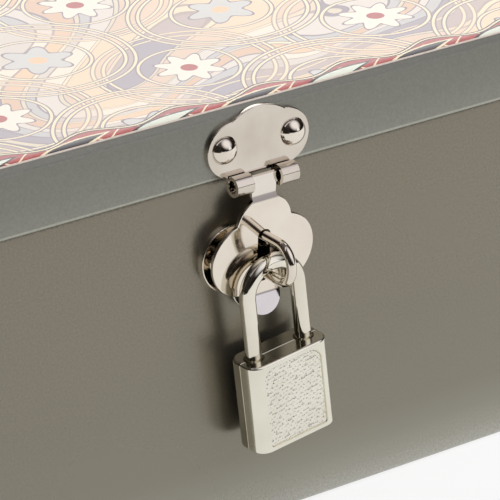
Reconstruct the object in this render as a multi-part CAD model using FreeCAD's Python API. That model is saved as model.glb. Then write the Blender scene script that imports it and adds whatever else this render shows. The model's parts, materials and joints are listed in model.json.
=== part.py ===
import FreeCAD, Part
import math
import os

V = FreeCAD.Vector
X_AXIS = V(1, 0, 0)
Y_AXIS = V(0, 1, 0)
Z_AXIS = V(0, 0, 1)
FRONT = V(0, -1, 0)
BACK = V(0, 1, 0)

# Sheet-steel box: a pressed tray with a hemmed rim (all sizes in millimetres)
BODY_LENGTH = 310.0
BODY_DEPTH = 225.0
TOTAL_HEIGHT = 94.6
SHEET = 0.6
CORNER_RADIUS = 8.0
BASE_FOLD_RADIUS = 1.6
RIM_HEM_HEIGHT = 5.0
HEM_ROUNDING = 0.8  # share of the sheet's thickness

# Lid: a shallow pressed tray that drops over the rim
SKIRT_HEIGHT = 15.1
LID_FOLD_RADIUS = 2.4
SKIRT_HEM_HEIGHT = 4.0
LID_CLEARANCE = 1.0
LID_SEAT_GAP = 0.3

# Pressed nickel-plated hardware and its rivets
PLATE = 0.9
FLAP_SHEET = 0.8
RIVET_HEAD_RADIUS = 3.0
RIVET_HEAD_HEIGHT = 2.1
SMALL_HEAD_RADIUS = 2.7
SMALL_HEAD_HEIGHT = 1.9
RIVET_SHANK_RADIUS = 1.5
RIVET_TAIL_RADIUS = 2.3
RIVET_TAIL_HEIGHT = 0.6
RIVET_TAIL_ROUNDING = 0.6  # share of the tail's height
EDGE_ROUNDING = 0.22
HOLE_CLEARANCE = 0.05
RUNNING_CLEARANCE = 0.08
TOOL_OVERRUN = 1.0  # how far a hole is cut past the face that it starts from

# Hasp plate on the lid: two round ears, a shallow dome on top, a straight lower edge
HASP_EAR_RADIUS = 6.0
HASP_EAR_OFFSET = 6.25
HASP_DOME_RADIUS = 10.8
HASP_HEIGHT = 14.1
HASP_RIVET_OFFSET = 8.25
HASP_RIVET_RISE = 6.45
KNUCKLE_RADIUS = 2.15
KNUCKLE_WALL = 0.8
KNUCKLE_LENGTH = 4.1
KNUCKLE_DROP = 1.25
KNUCKLE_SEAM = 0.25
STRAP_WIDTH = 5.8
STRAP_PLAY = 0.5
HEAD_BITE = 3.3
HEAD_RISE = 1.18

# Hinged flap that drops over the staple
FLAP_LEAN = 5.0
FLAP_JOGGLE = 0.7
STRAP_LENGTH = 3.3
JOGGLE_LENGTH = 1.1
FLAP_TOP_LOBE_RADIUS = 6.6
FLAP_TOP_LOBE_DROP = 9.9
FLAP_EAR_RADIUS = 8.2
FLAP_EAR_OFFSET = 4.1
FLAP_EAR_DROP = 16.7
FLAP_TAIL_WIDTH = 9.4
TAB_FOLD_DROP = 25.45
TAB_LENGTH = 4.4
TAB_WIDTH = 8.6
TAB_BEND = 24.0
SLOT_WIDTH = 3.1
SLOT_TOP_MARGIN = 0.3
SLOT_FOOT_MARGIN = 1.1
SLOT_ROUNDING = 0.45  # share of the slot's width

# Staple on the body: a lobed plate and a bent wire eye
STAPLE_EAR_RADIUS = 7.3
STAPLE_EAR_OFFSET = 5.4
STAPLE_EAR_DROP = 18.5
STAPLE_LOBE_RADIUS = 5.6
STAPLE_LOBE_DROP = 25.4
EYE_WIRE_RADIUS = 1.05
EYE_SPACING = 8.2
EYE_DROP = 17.6
EYE_REACH = 13.9
EYE_TAIL_RADIUS = 1.8

# Butt hinges on the back
HINGE_SPACING = 190.0
HINGE_WIDTH = 26.0
HINGE_MIDDLE_KNUCKLE = 9.0
HINGE_KNUCKLE_GAP = 0.3
HINGE_KNUCKLE_RADIUS = 2.2
HINGE_PIN_RADIUS = 1.05
HINGE_PIN_OVERHANG = 0.5
HINGE_PIN_ROUNDING = 0.4
HINGE_LEAF_HEIGHT = 14.0
HINGE_CORNER_RADIUS = 3.0
HINGE_RIVET_SPACING = 16.0
HINGE_LEAF_GAP = 0.3

# Padlock: two cast half shells, a wire shackle and the lock work between them
CASE_WIDTH = 20.2
CASE_HEIGHT = 20.1
CASE_THICKNESS = 8.8
CASE_CORNER_RADIUS = 3.0
CASE_EDGE_RADIUS = 0.55
SEAM_CHAMFER = 0.12
PANEL_WIDTH = 14.6
PANEL_TOP_MARGIN = 1.1
PANEL_BOTTOM_MARGIN = 1.1
PANEL_TOP_RADIUS = 2.8
PANEL_BOTTOM_RADIUS = 0.7
PANEL_DEPTH = 0.25
SHACKLE_WIRE_RADIUS = 1.72
SHACKLE_SPACING = 12.8
SHACKLE_REACH = 19.45
SHACKLE_REST_GAP = 0.2
SHACKLE_STAND_OFF = 4.1
SHACKLE_SIDE_SHIFT = 0.15
SHACKLE_END_ROUNDING = 0.4
LEG_HOLE_CHAMFER = 0.4
PADLOCK_ROLL = 5.75
PADLOCK_YAW = 2.65

# Lock work: a turned plug with a crank pin that draws the bolt out of the shackle's toe
RELEASE_TRAVEL = 5.2
BOLT_TRAVEL = 3.6
BOLT_THICKNESS = 1.6
BOLT_COVER = 1.4
BOLT_NOSE_WIDTH = 2.4
BOLT_BITE = 1.0
FORK_WALL = 1.0
BOLT_CLEARANCE = 0.12
NOTCH_CLEARANCE = 0.2
TOE_DEPTH = 4.9
HEEL_DEPTH = 15.4
HEEL_HOLE_DEPTH = 18.2
PLUG_RADIUS = 2.8
PLUG_FLANGE_RADIUS = 3.5
PLUG_FLANGE_DEPTH = 6.0
PLUG_FLANGE_HEIGHT = 1.0
CRANK_PIN_RADIUS = 0.6
KEYWAY_WIDTH = 1.0
KEYWAY_LENGTH = 4.2
KEYWAY_DEPTH = 8.0
CASE_PIN_RADIUS = 0.7
CASE_PIN_LENGTH = 7.0
HEEL_PIN_DEPTH = 8.2
SIDE_PIN_DEPTH = 13.0
HEEL_FLAT_DEPTH = 0.8
SPRING_WALL = 0.4

# Levels and faces that the pieces share
lid_edge_z = TOTAL_HEIGHT - SKIRT_HEIGHT
rim_z = TOTAL_HEIGHT - SHEET - LID_SEAT_GAP
lid_offset = LID_CLEARANCE + 2 * SHEET
lid_length = BODY_LENGTH + 2 * lid_offset
lid_depth = BODY_DEPTH + 2 * lid_offset
body_front_y = -BODY_DEPTH / 2
body_back_y = BODY_DEPTH / 2
lid_front_y = -lid_depth / 2
lid_back_y = lid_depth / 2
hasp_axis = V(0, lid_front_y - KNUCKLE_RADIUS, lid_edge_z - KNUCKLE_DROP)
eye_z = lid_edge_z - EYE_DROP
eye_leg_levels = (eye_z + EYE_SPACING / 2, eye_z - EYE_SPACING / 2)
staple_ear_z = lid_edge_z - STAPLE_EAR_DROP
hasp_rivet_z = lid_edge_z + HASP_RIVET_RISE
hinge_axis_y = body_back_y + HINGE_KNUCKLE_RADIUS + HINGE_LEAF_GAP
hinge_axis_z = lid_edge_z - HINGE_KNUCKLE_RADIUS - HINGE_LEAF_GAP


SAME_PLACE = 1e-4


def rounded_slab(length, depth, low, high, radius):
    """A block centred on the Z axis with its upright edges rounded."""
    block = Part.makeBox(length, depth, high - low, V(-length / 2, -depth / 2, low))
    upright = [e for e in block.Edges if e.BoundBox.ZLength > SAME_PLACE]
    return block.makeFillet(radius, upright)


def edges_at(shape, z):
    """Edges that lie wholly at one height."""
    level = [e for e in shape.Edges if e.BoundBox.ZLength < SAME_PLACE]
    return [e for e in level if abs(e.BoundBox.ZMin - z) < SAME_PLACE]


def edges_facing(shape, y):
    """Curved edges that lie wholly in one upright plane across the Y axis."""
    flat = [e for e in shape.Edges if e.BoundBox.YLength < SAME_PLACE]
    placed = [e for e in flat if abs(e.BoundBox.YMin - y) < SAME_PLACE]
    return [e for e in placed if e.Curve.TypeId == "Part::GeomCircle"]


def circle_meeting(centre_a, radius_a, centre_b, radius_b):
    """The crossing of two circles that lies to the right of the line from centre_a to centre_b."""
    ax, az = centre_a
    bx, bz = centre_b
    dx = bx - ax
    dz = bz - az
    apart = math.hypot(dx, dz)
    along = (radius_a ** 2 - radius_b ** 2 + apart ** 2) / (2 * apart)
    aside = math.sqrt(radius_a ** 2 - along ** 2)
    return ax + (along * dx + aside * dz) / apart, az + (along * dz - aside * dx) / apart


def mirrored_outline(right_side):
    """Closed outline in X and Z from the pieces of its right half: ('line', end) or ('arc', via, end)."""
    edges = []
    start = right_side[0]
    for piece in right_side[1:]:
        ends = [V(p[0], 0, p[1]) for p in [start] + list(piece[1:])]
        flipped = [V(-p.x, 0, p.z) for p in ends]
        for points in (ends, flipped):
            if len(points) == 2:
                edges.append(Part.makeLine(points[0], points[1]))
            else:
                edges.append(Part.Arc(points[0], points[1], points[2]).toShape())
        start = piece[-1]
    return Part.Face(Part.Wire(Part.__sortEdges__(edges)))


def rod_along(axis, point, radius, length):
    """A round bar that starts at a point and runs along a direction."""
    return Part.makeCylinder(radius, length, point, axis)


def rivet(point, outward, grip, head_radius, head_height):
    """Dome-headed rivet: its head stands on the point, and its shank is peened over behind the grip."""
    ball = (head_radius ** 2 + head_height ** 2) / (2 * head_height)
    rise = head_height - ball
    dome = Part.makeSphere(ball, V(0, 0, rise))
    dome = dome.common(Part.makeCylinder(2 * head_radius, 2 * head_height))
    shank = rod_along(V(0, 0, -1), V(0, 0, 0), RIVET_SHANK_RADIUS, grip)
    tail = rod_along(V(0, 0, -1), V(0, 0, -grip), RIVET_TAIL_RADIUS, RIVET_TAIL_HEIGHT)
    tail_edge = edges_at(tail, -grip - RIVET_TAIL_HEIGHT)
    tail = tail.makeFillet(RIVET_TAIL_ROUNDING * RIVET_TAIL_HEIGHT, tail_edge)
    whole = dome.fuse([shank, tail]).removeSplitter()
    whole.Placement = FreeCAD.Placement(point, FreeCAD.Rotation(Z_AXIS, outward))
    return whole


def rivet_hole(point, outward, grip):
    """Clearance hole for a rivet through everything that it grips."""
    reach = grip + RIVET_TAIL_HEIGHT
    return rod_along(-outward, point + outward * PLATE, RIVET_SHANK_RADIUS + HOLE_CLEARANCE, reach + PLATE)


# Where the rivets stand: (point on the outer face, outward direction)
hasp_rivets = [V(s * HASP_RIVET_OFFSET, lid_front_y - PLATE, hasp_rivet_z) for s in (-1, 1)]
staple_rivets = [V(s * HASP_RIVET_OFFSET, body_front_y - PLATE, staple_ear_z) for s in (-1, 1)]
hinge_xs = [s * HINGE_SPACING / 2 for s in (-1, 1)]
hinge_rivet_xs = [x + s * HINGE_RIVET_SPACING / 2 for x in hinge_xs for s in (-1, 1)]
leaf_rivet_rise = HINGE_KNUCKLE_RADIUS + HINGE_LEAF_GAP + HINGE_LEAF_HEIGHT / 2
lid_hinge_rivets = [V(x, lid_back_y + PLATE, hinge_axis_z + leaf_rivet_rise) for x in hinge_rivet_xs]
body_hinge_rivets = [V(x, body_back_y + PLATE, hinge_axis_z - leaf_rivet_rise) for x in hinge_rivet_xs]
grip = PLATE + SHEET


def make_box_body():
    """Tray with folded base edge, open top and a hem turned inwards along the rim."""
    outer = rounded_slab(BODY_LENGTH, BODY_DEPTH, 0, rim_z, CORNER_RADIUS)
    outer = outer.makeFillet(BASE_FOLD_RADIUS, edges_at(outer, 0))
    inner = rounded_slab(
        BODY_LENGTH - 2 * SHEET, BODY_DEPTH - 2 * SHEET, SHEET, rim_z + SHEET, CORNER_RADIUS - SHEET
    )
    inner = inner.makeFillet(BASE_FOLD_RADIUS - SHEET, edges_at(inner, SHEET))
    tray = outer.cut(inner)
    hem = rounded_slab(
        BODY_LENGTH - SHEET, BODY_DEPTH - SHEET, rim_z - RIM_HEM_HEIGHT, rim_z, CORNER_RADIUS - SHEET / 2
    )
    hem_inside = rounded_slab(
        BODY_LENGTH - 4 * SHEET, BODY_DEPTH - 4 * SHEET, 0, TOTAL_HEIGHT, CORNER_RADIUS - 2 * SHEET
    )
    tray = tray.fuse(hem.cut(hem_inside)).removeSplitter()
    tray = tray.makeFillet(HEM_ROUNDING * SHEET, edges_at(tray, rim_z))
    holes = [rivet_hole(p, FRONT, grip) for p in staple_rivets]
    holes += [rivet_hole(p, BACK, grip) for p in body_hinge_rivets]
    for leg_z in eye_leg_levels:
        start = V(0, body_front_y - TOOL_OVERRUN, leg_z)
        holes.append(rod_along(BACK, start, EYE_WIRE_RADIUS + HOLE_CLEARANCE, SHEET + 2 * TOOL_OVERRUN))
    return tray.cut(Part.makeCompound(holes))


def make_lid():
    """Shallow tray upside down, with a rounded fold round the top and a hem along the skirt's edge."""
    outer = rounded_slab(lid_length, lid_depth, lid_edge_z, TOTAL_HEIGHT, CORNER_RADIUS + lid_offset)
    outer = outer.makeFillet(LID_FOLD_RADIUS, edges_at(outer, TOTAL_HEIGHT))
    inner = rounded_slab(
        lid_length - 2 * SHEET,
        lid_depth - 2 * SHEET,
        lid_edge_z - SHEET,
        TOTAL_HEIGHT - SHEET,
        CORNER_RADIUS + lid_offset - SHEET,
    )
    inner = inner.makeFillet(LID_FOLD_RADIUS - SHEET, edges_at(inner, TOTAL_HEIGHT - SHEET))
    hem = rounded_slab(
        lid_length - SHEET,
        lid_depth - SHEET,
        lid_edge_z,
        lid_edge_z + SKIRT_HEM_HEIGHT,
        CORNER_RADIUS + lid_offset - SHEET / 2,
    )
    hem_inside = rounded_slab(
        lid_length - 4 * SHEET, lid_depth - 4 * SHEET, 0, TOTAL_HEIGHT, CORNER_RADIUS + lid_offset - 2 * SHEET
    )
    lid = outer.cut(inner).fuse(hem.cut(hem_inside)).removeSplitter()
    lid = lid.makeFillet(HEM_ROUNDING * SHEET, edges_at(lid, lid_edge_z))
    holes = [rivet_hole(p, FRONT, grip) for p in hasp_rivets]
    holes += [rivet_hole(p, BACK, grip) for p in lid_hinge_rivets]
    return lid.cut(Part.makeCompound(holes))


def make_hasp_plate():
    """Lobed plate with two strips at its lower edge rolled into knuckles for the flap."""
    top = lid_edge_z + HASP_HEIGHT
    ear = (HASP_EAR_OFFSET, lid_edge_z + HASP_EAR_RADIUS)
    dome = (0, top - HASP_DOME_RADIUS)
    crossing = circle_meeting(ear, HASP_EAR_RADIUS, dome, HASP_DOME_RADIUS)
    lean = math.atan2(crossing[0], crossing[1] - dome[1]) / 2
    dome_via = (HASP_DOME_RADIUS * math.sin(lean), dome[1] + HASP_DOME_RADIUS * math.cos(lean))
    outline = mirrored_outline(
        [
            (0, lid_edge_z),
            ("line", (ear[0], lid_edge_z)),
            ("arc", (ear[0] + HASP_EAR_RADIUS, ear[1]), crossing),
            ("arc", dome_via, (0, top)),
        ]
    )
    outline.translate(V(0, lid_front_y, 0))
    plate = outline.extrude(FRONT * PLATE)
    plate = plate.makeFillet(EDGE_ROUNDING, edges_facing(plate, lid_front_y - PLATE))
    inner_end = STRAP_WIDTH / 2 + STRAP_PLAY
    for side in (-1, 1):
        low_x = min(side * inner_end, side * (inner_end + KNUCKLE_LENGTH))
        start = V(low_x, hasp_axis.y, hasp_axis.z)
        tube = rod_along(X_AXIS, start, KNUCKLE_RADIUS, KNUCKLE_LENGTH)
        strip_foot = V(low_x, lid_front_y - KNUCKLE_WALL, hasp_axis.z)
        strip = Part.makeBox(KNUCKLE_LENGTH, KNUCKLE_WALL, KNUCKLE_DROP + PLATE, strip_foot)
        bore = rod_along(X_AXIS, start, KNUCKLE_RADIUS - KNUCKLE_WALL, KNUCKLE_LENGTH)
        seam_foot = V(low_x, lid_front_y - PLATE - KNUCKLE_SEAM, hasp_axis.z)
        seam = Part.makeBox(KNUCKLE_LENGTH, KNUCKLE_SEAM, 2 * KNUCKLE_RADIUS, seam_foot)
        plate = plate.fuse(tube.cut(seam)).fuse(strip).cut(bore)
    holes = [rivet_hole(p, FRONT, grip) for p in hasp_rivets]
    return plate.removeSplitter().cut(Part.makeCompound(holes))


def make_hasp_flap():
    """Flap with a T head that turns in the knuckles, a joggled strap, a slot for the eye and a bent tab.

    It is drawn upright, with its turning axis on the X axis, and then leaned in to rest on the rivets."""
    half = FLAP_SHEET / 2
    out = FLAP_JOGGLE
    joggle_end = STRAP_LENGTH + JOGGLE_LENGTH
    side = [
        (half, HEAD_RISE),
        (half, -STRAP_LENGTH),
        (half - out, -joggle_end),
        (half - out, -TAB_FOLD_DROP),
        (-half - out, -TAB_FOLD_DROP),
        (-half - out, -joggle_end),
        (-half, -STRAP_LENGTH),
        (-half, HEAD_RISE),
    ]
    points = [V(0, y, z) for y, z in side]
    profile = Part.Face(Part.makePolygon(points + points[:1]))
    span = 4 * FLAP_EAR_RADIUS
    profile.translate(V(-span / 2, 0, 0))
    bent_sheet = profile.extrude(V(span, 0, 0))
    lobe = (0, -FLAP_TOP_LOBE_DROP)
    ear = (FLAP_EAR_OFFSET, -FLAP_EAR_DROP)
    neck = STRAP_WIDTH / 2
    shoulder = (neck, lobe[1] + math.sqrt(FLAP_TOP_LOBE_RADIUS ** 2 - neck ** 2))
    crossing = circle_meeting(ear, FLAP_EAR_RADIUS, lobe, FLAP_TOP_LOBE_RADIUS)
    shoulder_turn = math.atan2(shoulder[0], shoulder[1] - lobe[1])
    crossing_turn = math.atan2(crossing[0], crossing[1] - lobe[1])
    turn = (shoulder_turn + crossing_turn) / 2
    lobe_via = (FLAP_TOP_LOBE_RADIUS * math.sin(turn), lobe[1] + FLAP_TOP_LOBE_RADIUS * math.cos(turn))
    tail = FLAP_TAIL_WIDTH / 2
    ear_foot = (tail, ear[1] - math.sqrt(FLAP_EAR_RADIUS ** 2 - (tail - ear[0]) ** 2))
    outline = mirrored_outline(
        [
            (0, HEAD_RISE),
            ("line", (neck, HEAD_RISE)),
            ("line", shoulder),
            ("arc", lobe_via, crossing),
            ("arc", (ear[0] + FLAP_EAR_RADIUS, ear[1]), ear_foot),
            ("line", (TAB_WIDTH / 2, -TAB_FOLD_DROP)),
            ("line", (0, -TAB_FOLD_DROP)),
        ]
    )
    reach = 4 * KNUCKLE_RADIUS
    outline.translate(V(0, reach, 0))
    flap = bent_sheet.common(outline.extrude(V(0, -2 * reach, 0)))
    front_edges = edges_facing(flap, -half - out)
    ear_edges = [e for e in front_edges if abs(e.Curve.Center.x) > SAME_PLACE]
    lobe_edges = [e for e in front_edges if abs(e.Curve.Center.x) < SAME_PLACE]
    flap = flap.makeFillet(EDGE_ROUNDING, ear_edges).common(flap.makeFillet(EDGE_ROUNDING, lobe_edges))
    flap = flap.fuse(make_tab(half + out))
    head = STRAP_WIDTH + 2 * STRAP_PLAY + 2 * HEAD_BITE
    flap = flap.fuse(Part.makeBox(head, FLAP_SHEET, 2 * HEAD_RISE, V(-head / 2, -half, -HEAD_RISE)))
    slot_top = hasp_axis.z - eye_leg_levels[0] - EYE_WIRE_RADIUS - SLOT_TOP_MARGIN
    slot_foot = hasp_axis.z - eye_leg_levels[1] + EYE_WIRE_RADIUS + SLOT_FOOT_MARGIN
    slot = Part.makeBox(SLOT_WIDTH, 2 * reach, slot_foot - slot_top, V(-SLOT_WIDTH / 2, -reach, -slot_foot))
    slot_edges = [e for e in slot.Edges if e.BoundBox.YLength > SAME_PLACE]
    flap = flap.removeSplitter().cut(slot.makeFillet(SLOT_ROUNDING * SLOT_WIDTH, slot_edges))
    flap.rotate(V(0, 0, 0), X_AXIS, FLAP_LEAN)
    flap.translate(hasp_axis)
    return flap


def make_tab(front):
    """Rounded finger tab that carries on from the flap's foot, bent outwards at the fold."""
    half = TAB_WIDTH / 2
    foot = TAB_LENGTH - half
    diagonal = half * math.sqrt(0.5)
    outline = mirrored_outline(
        [
            (0, 0),
            ("line", (half, 0)),
            ("line", (half, -foot)),
            ("arc", (diagonal, -foot - diagonal), (0, -TAB_LENGTH)),
        ]
    )
    tab = outline.extrude(V(0, FLAP_SHEET, 0))
    tab.rotate(V(0, 0, 0), X_AXIS, -TAB_BEND)
    fold = rod_along(X_AXIS, V(-half, FLAP_SHEET, 0), FLAP_SHEET, TAB_WIDTH)
    wedge = Part.makeBox(TAB_WIDTH, FLAP_SHEET, FLAP_SHEET, V(-half, 0, -FLAP_SHEET))
    tab = tab.fuse(fold.common(wedge))
    tab.translate(V(0, -front, -TAB_FOLD_DROP))
    return tab


def make_staple_plate():
    """Lobed plate under the flap: a straight top edge, two round ears and a lobe below."""
    ear = (STAPLE_EAR_OFFSET, staple_ear_z)
    lobe = (0, lid_edge_z - STAPLE_LOBE_DROP)
    crossing = circle_meeting(lobe, STAPLE_LOBE_RADIUS, ear, STAPLE_EAR_RADIUS)
    turn = math.atan2(crossing[0], lobe[1] - crossing[1]) / 2
    lobe_via = (STAPLE_LOBE_RADIUS * math.sin(turn), lobe[1] - STAPLE_LOBE_RADIUS * math.cos(turn))
    outline = mirrored_outline(
        [
            (0, staple_ear_z + STAPLE_EAR_RADIUS),
            ("line", (ear[0], staple_ear_z + STAPLE_EAR_RADIUS)),
            ("arc", (ear[0] + STAPLE_EAR_RADIUS, ear[1]), crossing),
            ("arc", lobe_via, (0, lobe[1] - STAPLE_LOBE_RADIUS)),
        ]
    )
    outline.translate(V(0, body_front_y, 0))
    plate = outline.extrude(FRONT * PLATE)
    plate = plate.makeFillet(EDGE_ROUNDING, edges_facing(plate, body_front_y - PLATE))
    holes = [rivet_hole(p, FRONT, grip) for p in staple_rivets]
    for leg_z in eye_leg_levels:
        holes.append(rod_along(FRONT, V(0, body_front_y, leg_z), EYE_WIRE_RADIUS + HOLE_CLEARANCE, 2 * PLATE))
    return plate.cut(Part.makeCompound(holes))


def make_staple_eye():
    """Round wire bent to a U, its legs through plate and wall and peened over inside the box."""
    bend = EYE_SPACING / 2
    bend_y = body_front_y - PLATE - EYE_REACH + bend + EYE_WIRE_RADIUS
    inside_y = body_front_y + SHEET
    eye = Part.makeTorus(bend, EYE_WIRE_RADIUS, V(0, 0, 0), Z_AXIS, -180, 180, 180)
    upright = FreeCAD.Rotation(Z_AXIS, FRONT, X_AXIS, "ZXY")
    eye.Placement = FreeCAD.Placement(V(0, bend_y, eye_z), upright)
    for leg_z in eye_leg_levels:
        eye = eye.fuse(rod_along(BACK, V(0, bend_y, leg_z), EYE_WIRE_RADIUS, inside_y - bend_y))
        eye = eye.fuse(rod_along(BACK, V(0, inside_y, leg_z), EYE_TAIL_RADIUS, RIVET_TAIL_HEIGHT))
    return eye.removeSplitter()


def hinge_leaf(centre_x, upper):
    """One leaf of a butt hinge with its rolled knuckles, on the lid (upper) or on the body."""
    way = 1 if upper else -1
    face_y = lid_back_y if upper else body_back_y
    near = HINGE_KNUCKLE_RADIUS + HINGE_LEAF_GAP
    low = hinge_axis_z + near if upper else hinge_axis_z - near - HINGE_LEAF_HEIGHT
    leaf = Part.makeBox(HINGE_WIDTH, PLATE, HINGE_LEAF_HEIGHT, V(centre_x - HINGE_WIDTH / 2, face_y, low))
    far_z = low + HINGE_LEAF_HEIGHT if upper else low
    across = [e for e in leaf.Edges if e.BoundBox.YLength > SAME_PLACE]
    corners = [e for e in across if abs(e.BoundBox.ZMin - far_z) < SAME_PLACE]
    leaf = leaf.makeFillet(HINGE_CORNER_RADIUS, corners)
    middle = (centre_x - HINGE_MIDDLE_KNUCKLE / 2, HINGE_MIDDLE_KNUCKLE)
    outer_length = (HINGE_WIDTH - HINGE_MIDDLE_KNUCKLE) / 2 - HINGE_KNUCKLE_GAP
    outer = [
        (centre_x - HINGE_WIDTH / 2, outer_length),
        (centre_x + HINGE_WIDTH / 2 - outer_length, outer_length),
    ]
    for low_x, length in outer if upper else [middle]:
        start = V(low_x, hinge_axis_y, hinge_axis_z)
        leaf = leaf.fuse(rod_along(X_AXIS, start, HINGE_KNUCKLE_RADIUS, length))
        root_foot = min(hinge_axis_z, hinge_axis_z + way * near)
        leaf = leaf.fuse(Part.makeBox(length, PLATE, near, V(low_x, face_y, root_foot)))
    bore = rod_along(
        X_AXIS,
        V(centre_x - HINGE_WIDTH, hinge_axis_y, hinge_axis_z),
        HINGE_PIN_RADIUS + RUNNING_CLEARANCE,
        2 * HINGE_WIDTH,
    )
    points = lid_hinge_rivets if upper else body_hinge_rivets
    holes = [rivet_hole(p, BACK, grip) for p in points]
    return leaf.cut(Part.makeCompound([bore] + holes)).removeSplitter()


def hinge_pin(centre_x):
    """Pin through the knuckles of one hinge, its ends rounded over."""
    length = HINGE_WIDTH + 2 * HINGE_PIN_OVERHANG
    pin = rod_along(X_AXIS, V(centre_x - length / 2, hinge_axis_y, hinge_axis_z), HINGE_PIN_RADIUS, length)
    rims = [e for e in pin.Edges if e.BoundBox.XLength < SAME_PLACE]
    return pin.makeFillet(HINGE_PIN_ROUNDING, rims)


# Padlock frame: the middle of the shackle's bow at the origin, the case below it, its front towards -Y
case_top = -SHACKLE_REACH
case_foot = case_top - CASE_HEIGHT
leg_x = SHACKLE_SPACING / 2
toe_inner_x = leg_x - SHACKLE_WIRE_RADIUS
bolt_top = case_top - BOLT_COVER
bolt_foot = bolt_top - BOLT_THICKNESS
bolt_tip_x = toe_inner_x + BOLT_BITE
crank_x = BOLT_TRAVEL / 2
crank_radius = math.hypot(crank_x, crank_x)
fork_room = CRANK_PIN_RADIUS + BOLT_CLEARANCE
heel_pin_x = -toe_inner_x - HEEL_FLAT_DEPTH + 2 * HOLE_CLEARANCE + CASE_PIN_RADIUS
bow_z = eye_leg_levels[1] + EYE_WIRE_RADIUS + SHACKLE_REST_GAP + SHACKLE_WIRE_RADIUS
bow_point = V(-SHACKLE_SIDE_SHIFT, lid_front_y - SHACKLE_STAND_OFF, bow_z)


def hang(shape):
    """Puts a piece of the padlock where it hangs on the eye, swung a little to one side."""
    shape.rotate(V(0, 0, 0), Y_AXIS, -PADLOCK_ROLL)
    shape.rotate(V(0, 0, 0), Z_AXIS, PADLOCK_YAW)
    shape.translate(bow_point)
    return shape


def make_shackle():
    """Bent round bar: a long heel kept in the case and a short toe with a bevelled notch for the bolt."""
    bow = Part.makeTorus(leg_x, SHACKLE_WIRE_RADIUS, V(0, 0, 0), Z_AXIS, -180, 180, 180)
    bow.Placement = FreeCAD.Placement(V(0, 0, -leg_x), FreeCAD.Rotation(X_AXIS, 90))
    straight = SHACKLE_REACH - leg_x
    shackle = bow
    for x, depth in ((-leg_x, HEEL_DEPTH), (leg_x, TOE_DEPTH)):
        leg = rod_along(-Z_AXIS, V(x, 0, -leg_x), SHACKLE_WIRE_RADIUS, straight + depth)
        leg = leg.makeFillet(SHACKLE_END_ROUNDING, edges_at(leg, case_top - depth))
        shackle = shackle.fuse(leg)
    floor_x = bolt_tip_x + NOTCH_CLEARANCE
    mouth_x = toe_inner_x - NOTCH_CLEARANCE
    ramp = (floor_x - mouth_x) * RELEASE_TRAVEL / BOLT_TRAVEL
    corners = [
        V(mouth_x, -CASE_THICKNESS, bolt_top + NOTCH_CLEARANCE),
        V(floor_x, -CASE_THICKNESS, bolt_top + NOTCH_CLEARANCE),
        V(floor_x, -CASE_THICKNESS, bolt_foot - NOTCH_CLEARANCE),
        V(mouth_x, -CASE_THICKNESS, bolt_foot - NOTCH_CLEARANCE - ramp),
    ]
    notch = Part.Face(Part.makePolygon(corners + corners[:1])).extrude(V(0, 2 * CASE_THICKNESS, 0))
    pin_room = CASE_PIN_RADIUS + 2 * NOTCH_CLEARANCE
    flat_foot = case_top - HEEL_PIN_DEPTH - RELEASE_TRAVEL - pin_room
    flat = Part.makeBox(
        2 * SHACKLE_WIRE_RADIUS,
        2 * CASE_THICKNESS,
        RELEASE_TRAVEL + 2 * pin_room,
        V(-toe_inner_x - HEEL_FLAT_DEPTH, -CASE_THICKNESS, flat_foot),
    )
    return hang(shackle.removeSplitter().cut(notch).cut(flat))


def case_pin_rods(radius, length):
    """The two cross pins that hold the halves together; one of them also keeps the heel in."""
    places = [(heel_pin_x, case_top - HEEL_PIN_DEPTH), (leg_x, case_top - SIDE_PIN_DEPTH)]
    return [rod_along(Y_AXIS, V(x, -length / 2, z), radius, length) for x, z in places]


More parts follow.
